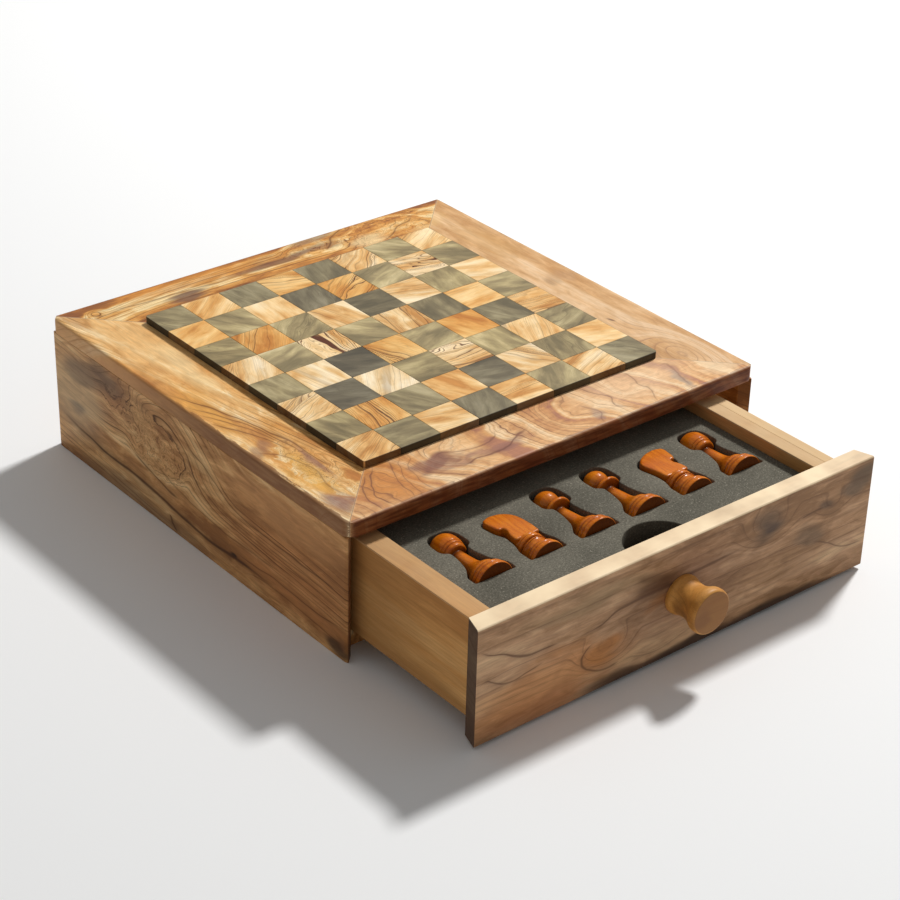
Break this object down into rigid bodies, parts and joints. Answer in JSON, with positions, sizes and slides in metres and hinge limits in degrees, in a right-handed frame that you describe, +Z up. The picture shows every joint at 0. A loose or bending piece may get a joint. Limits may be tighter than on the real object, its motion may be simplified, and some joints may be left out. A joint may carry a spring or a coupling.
{
  "type": "chess box with drawers",
  "caption": "Low square wooden chess box: raised playing board on a mitred top, and a drawer at front and back holding chessmen in cut foam.",
  "frame": {"origin": "middle of the case's underside, where it stands", "axes": "+Z up, -Y towards the front, whose drawer is drawn out; +X to the right seen from the front"},
  "size_m": [0.3, 0.448, 0.093],
  "materials": {
    "olive_wood": "oiled olive wood, satin",
    "pale_wood": "plain planed wood, matt",
    "knob_wood": "turned wood, satin",
    "light_squares": "oiled wood, satin",
    "dark_squares": "stained wood, satin",
    "front_men": "stained and varnished, gloss",
    "back_men": "varnished natural wood, gloss",
    "foam": "fine closed-cell foam, matt",
    "screw_steel": "zinc-plated steel"
  },
  "bodies": {
    "case": {"base_panel": "olive_wood", "left_side_panel": "olive_wood", "right_side_panel": "olive_wood", "bay_divider": "pale_wood", "front_guide_rail": "pale_wood", "back_guide_rail": "pale_wood", "front_top_board": "olive_wood", "right_top_board": "olive_wood", "back_top_board": "olive_wood", "left_top_board": "olive_wood", "top_core": "pale_wood", "light_squares": "light_squares", "dark_squares": "dark_squares"},
    "front_drawer": {"front_drawer_face": "olive_wood", "front_drawer_left_wall": "pale_wood", "front_drawer_right_wall": "pale_wood", "front_drawer_slip": "pale_wood", "front_drawer_rear_wall": "pale_wood", "front_drawer_bottom": "pale_wood", "front_knob": "knob_wood", "front_knob_screw": "screw_steel", "front_lower_foam": "foam", "front_upper_foam": "foam", "front_rooks": "front_men", "front_knights": "front_men", "front_bishops": "front_men", "front_queen": "front_men", "front_king": "front_men", "front_pawns": "front_men"},
    "back_drawer": {"back_drawer_face": "olive_wood", "back_drawer_left_wall": "pale_wood", "back_drawer_right_wall": "pale_wood", "back_drawer_slip": "pale_wood", "back_drawer_rear_wall": "pale_wood", "back_drawer_bottom": "pale_wood", "back_knob": "knob_wood", "back_knob_screw": "screw_steel", "back_lower_foam": "foam", "back_upper_foam": "foam", "back_rooks": "back_men", "back_knights": "back_men", "back_bishops": "back_men", "back_queen": "back_men", "back_king": "back_men", "back_pawns": "back_men"}
  },
  "joints": [
    {"name": "front_drawer_slide", "type": "slide", "parent": "case", "child": "front_drawer", "axis": [0, -1, 0], "range_m": [-0.1, 0.02]},
    {"name": "back_drawer_slide", "type": "slide", "parent": "case", "child": "back_drawer", "axis": [0, 1, 0], "range_m": [0, 0.12]}
  ]
}
